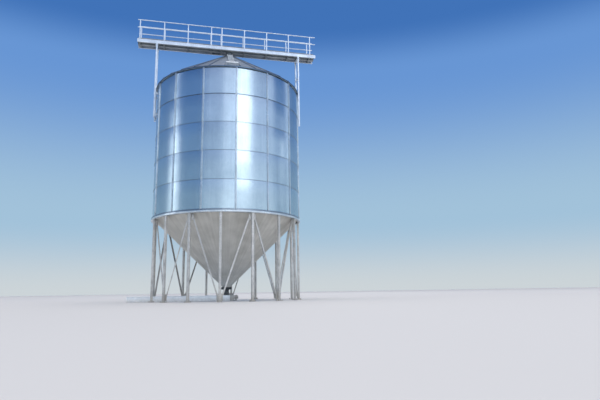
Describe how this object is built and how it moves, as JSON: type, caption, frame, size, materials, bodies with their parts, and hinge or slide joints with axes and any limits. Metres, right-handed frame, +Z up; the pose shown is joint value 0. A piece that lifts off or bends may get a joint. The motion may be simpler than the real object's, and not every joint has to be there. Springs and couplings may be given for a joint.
{
  "type": "hopper-bottom grain silo",
  "caption": "Galvanised round grain silo with conical roof and hopper on braced legs, carrying a walkway with a filling conveyor, over a discharge conveyor.",
  "frame": {"origin": "on the ground, at the silo's axis", "axes": "+Z up, +X along the walkway towards the drive end of the discharge conveyor, -Y towards the side the picture was taken from"},
  "size_m": [8.9, 6.9706, 13.56],
  "materials": {
    "galvanised_sheet": "bright hot-dip galvanised sheet, semi-gloss",
    "roof_sheet": "galvanised roof sheet, satin",
    "hopper_zinc": "dull weathered zinc, matte",
    "leg_steel": "hot-dip galvanised sections, satin",
    "walkway_steel": "hot-dip galvanised, satin",
    "deck_grating": "open steel grating, dull",
    "dark_steel": "dark grey paint, matte"
  },
  "bodies": {
    "root": {"shell_ring_1": "galvanised_sheet", "shell_ring_2": "galvanised_sheet", "shell_ring_3": "galvanised_sheet", "shell_ring_4": "galvanised_sheet", "shell_ring_5": "galvanised_sheet", "ring_beam": "leg_steel", "eave_ring": "roof_sheet", "roof_cone": "roof_sheet", "roof_collar": "roof_sheet", "roof_hatch": "walkway_steel", "roof_ladder": "walkway_steel", "hopper_cone": "hopper_zinc", "outlet_cone": "hopper_zinc", "outlet_gate": "dark_steel", "outlet_chute": "dark_steel", "leg_1": "leg_steel", "leg_2": "leg_steel", "leg_3": "leg_steel", "leg_4": "leg_steel", "leg_5": "leg_steel", "leg_6": "leg_steel", "leg_7": "leg_steel", "leg_8": "leg_steel", "leg_9": "leg_steel", "leg_10": "leg_steel", "leg_11": "leg_steel", "leg_12": "leg_steel", "leg_13": "leg_steel", "leg_14": "leg_steel", "leg_15": "leg_steel", "leg_16": "leg_steel", "brace_1": "leg_steel", "brace_2": "leg_steel", "brace_3": "leg_steel", "brace_4": "leg_steel", "brace_5": "leg_steel", "brace_6": "leg_steel", "brace_7": "leg_steel", "brace_8": "leg_steel", "brace_9": "leg_steel", "brace_10": "leg_steel", "brace_11": "leg_steel", "brace_12": "leg_steel", "brace_13": "leg_steel", "brace_14": "leg_steel", "brace_15": "leg_steel", "brace_16": "leg_steel", "discharge_conveyor": "walkway_steel", "conveyor_drive": "leg_steel", "walkway_frame_left": "walkway_steel", "walkway_frame_right": "walkway_steel", "walkway_deck_left": "deck_grating", "walkway_deck_right": "deck_grating", "railing_front": "walkway_steel", "railing_rear": "walkway_steel", "filling_conveyor": "walkway_steel", "inlet_spout": "hopper_zinc", "walkway_support_left": "walkway_steel", "walkway_support_right": "walkway_steel"}
  },
  "joints": []
}
